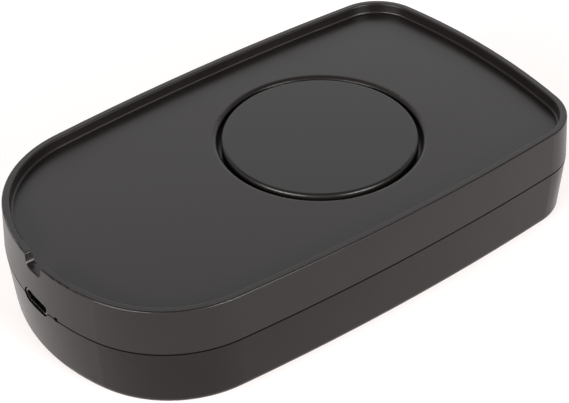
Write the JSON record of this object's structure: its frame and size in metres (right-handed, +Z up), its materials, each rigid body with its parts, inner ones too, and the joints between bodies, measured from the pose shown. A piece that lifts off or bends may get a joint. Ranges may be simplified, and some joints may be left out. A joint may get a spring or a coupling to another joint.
{
  "type": "mouse jiggler",
  "caption": "Desk tray for a parked computer mouse: a rimmed matte black case whose motor slowly turns a flush disc under the mouse's sensor.",
  "frame": {"origin": "middle of the case's plan at the underside of the rubber feet", "axes": "+Z up, +Y from the rounded nose with the USB-C inlet to the straight tail, +X across"},
  "size_m": [0.0816, 0.1385, 0.0286],
  "materials": {
    "case_top": "matte, fine moulded texture",
    "case_base": "matte, fine moulded texture",
    "turntable": "matte",
    "foot_rubber": "matte",
    "screw_steel": "zinc plated",
    "shaft_steel": "turned",
    "gear_nylon": "moulded nylon",
    "magnet_ferrite": "sintered",
    "stator_iron": "stamped",
    "coil_copper": "enamelled wire",
    "can_steel": "zinc plated",
    "bush_brass": "turned",
    "cap_plastic": "moulded",
    "lead_insulation": "satin",
    "connector_plastic": "moulded",
    "board_laminate": "solder mask",
    "chip_epoxy": "matte",
    "capacitor_can": "satin",
    "socket_steel": "nickel plated",
    "socket_insulator": "moulded"
  },
  "bodies": {
    "housing": {"top_shell": "case_top", "bottom_shell": "case_base", "foot_front_left": "foot_rubber", "foot_front_right": "foot_rubber", "foot_rear_left": "foot_rubber", "foot_rear_right": "foot_rubber", "case_screws": "screw_steel", "motor_screws": "screw_steel", "board_screws": "screw_steel", "gear_pins": "shaft_steel", "gear_plate": "can_steel", "motor_can": "can_steel", "motor_cover": "can_steel", "stator_poles": "stator_iron", "lower_coil": "coil_copper", "upper_coil": "coil_copper", "shaft_bush": "bush_brass", "lead_cap": "cap_plastic", "motor_leads": "lead_insulation", "lead_plug": "connector_plastic", "board_header": "connector_plastic", "circuit_board": "board_laminate", "controller_chip": "chip_epoxy", "driver_chip": "chip_epoxy", "board_capacitors": "capacitor_can", "usb_socket_shell": "socket_steel", "usb_socket_tongue": "socket_insulator"},
    "turntable": {"turntable_disc": "turntable", "output_shaft": "shaft_steel", "output_gear": "gear_nylon"},
    "second_gear": {"second_gear": "gear_nylon"},
    "first_gear": {"first_gear": "gear_nylon"},
    "rotor": {"rotor_shaft": "shaft_steel", "rotor_magnet": "magnet_ferrite"}
  },
  "joints": [
    {"name": "turntable_spin", "type": "hinge", "parent": "housing", "child": "turntable", "pos_m": [0, 0.0125, 0], "axis": [0, 0, 1], "continuous": true},
    {"name": "second_gear_spin", "type": "hinge", "parent": "housing", "child": "second_gear", "pos_m": [0.00579, 0.01002, 0], "axis": [0, 0, 1], "continuous": true},
    {"name": "first_gear_spin", "type": "hinge", "parent": "housing", "child": "first_gear", "pos_m": [0.00625, 0.00373, 0], "axis": [0, 0, 1], "continuous": true},
    {"name": "rotor_spin", "type": "hinge", "parent": "housing", "child": "rotor", "pos_m": [0, 0.0045, 0], "axis": [0, 0, 1], "continuous": true}
  ],
  "couplings": [
    {"joint": "second_gear_spin", "follows": "turntable_spin", "ratio": -2.5},
    {"joint": "first_gear_spin", "follows": "turntable_spin", "ratio": 6.25},
    {"joint": "rotor_spin", "follows": "turntable_spin", "ratio": -15.625}
  ]
}
